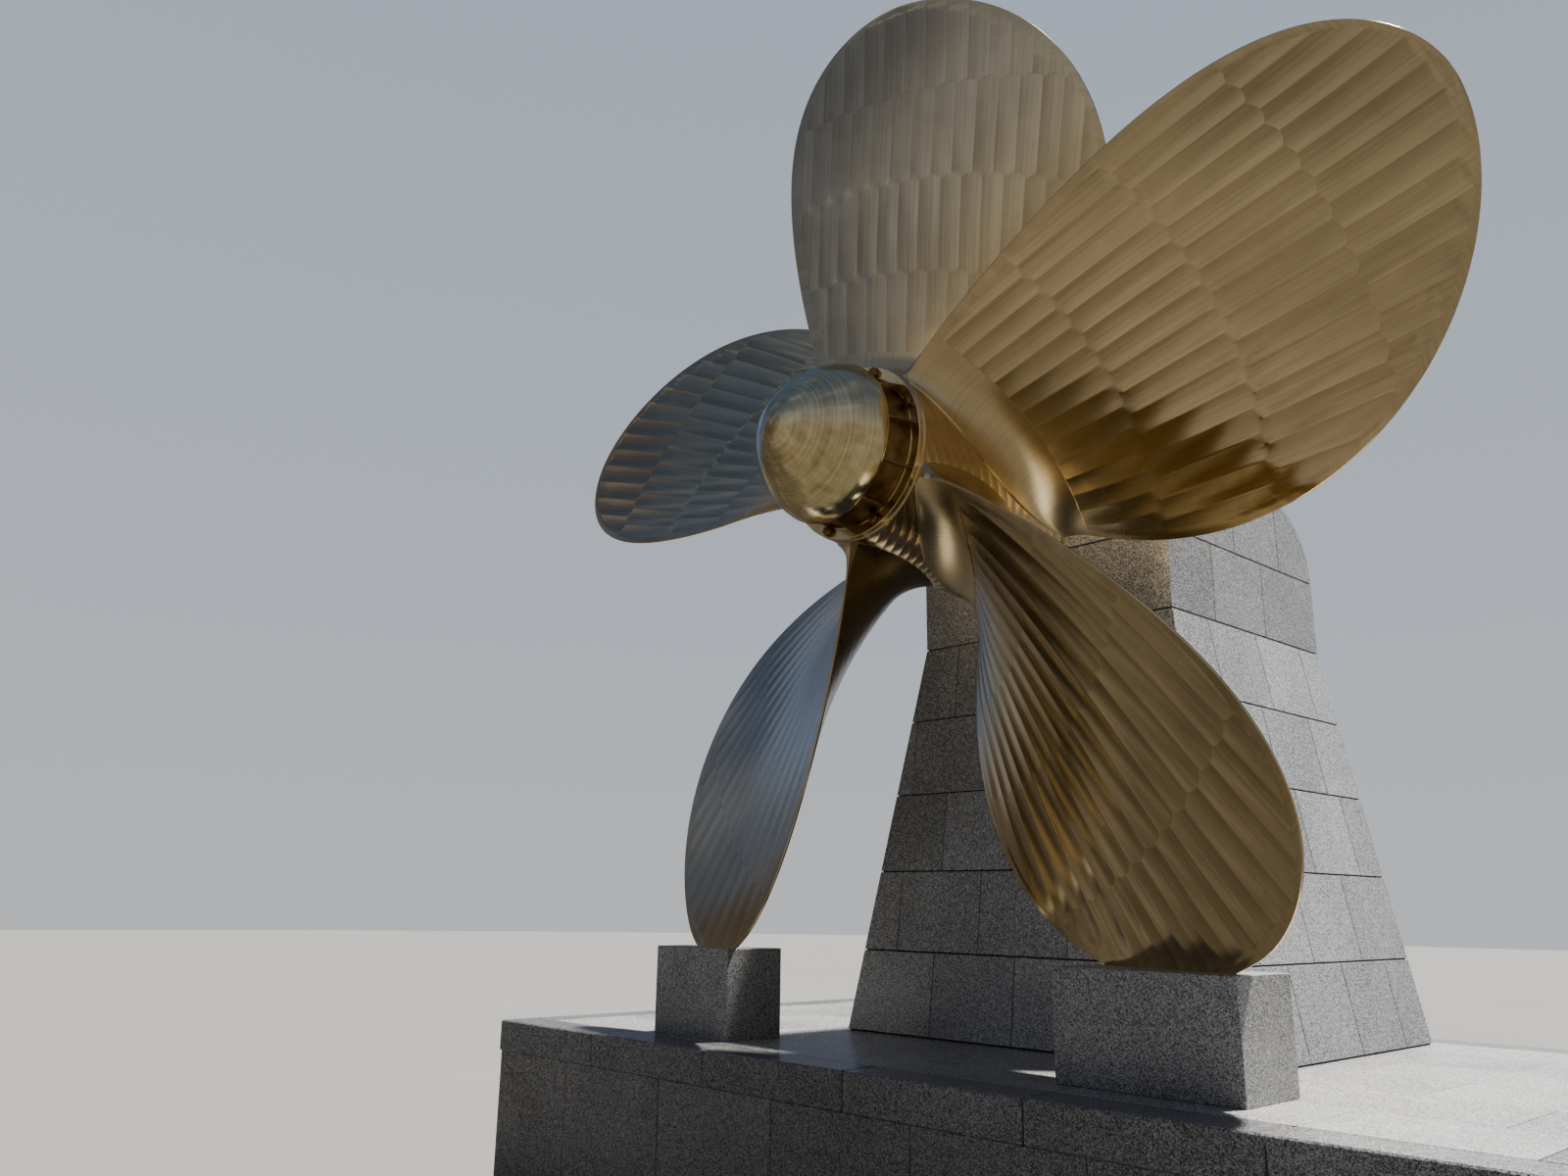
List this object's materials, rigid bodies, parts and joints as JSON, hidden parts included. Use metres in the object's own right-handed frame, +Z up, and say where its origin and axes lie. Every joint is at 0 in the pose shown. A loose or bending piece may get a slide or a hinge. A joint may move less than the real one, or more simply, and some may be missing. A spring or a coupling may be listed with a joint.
{
  "type": "ship propeller on a stone pedestal",
  "caption": "Retired bronze ship propeller with its boss cap, shown on a stub shaft in a tapered granite pedestal, its lower blade tips let into blocks on a podium.",
  "frame": {"origin": "on the ground, under the middle of the podium", "axes": "+Z up, the propeller's axis along Y through X = 0 with its boss cap pointing to -Y, +X to the right of someone facing the cap"},
  "size_m": [5.7, 4.197, 6.6674],
  "materials": {
    "bronze": "milled and polished bronze, golden brown",
    "granite": "dark grey granite, flamed and polished",
    "concrete": "cast concrete",
    "steel": "dull dark steel"
  },
  "bodies": {
    "root": {"propeller_casting": "bronze", "boss_cap": "bronze", "cap_bolt_1": "bronze", "cap_bolt_2": "bronze", "cap_bolt_3": "bronze", "cap_bolt_4": "bronze", "cap_bolt_5": "bronze", "cap_bolt_6": "bronze", "stub_shaft": "steel", "pedestal_course_1": "granite", "pedestal_course_2": "granite", "pedestal_course_3": "granite", "pedestal_course_4": "granite", "pedestal_course_5": "granite", "pedestal_course_6": "granite", "pedestal_course_7": "granite", "blade_block_left": "granite", "blade_block_right": "granite", "podium_paving": "granite", "podium_front_coping": "granite", "podium_back_coping": "granite", "podium_left_coping": "granite", "podium_right_coping": "granite", "podium_front_facing": "granite", "podium_back_facing": "granite", "podium_left_facing": "granite", "podium_right_facing": "granite", "podium_core": "concrete", "paving_bed": "concrete"}
  },
  "joints": []
}
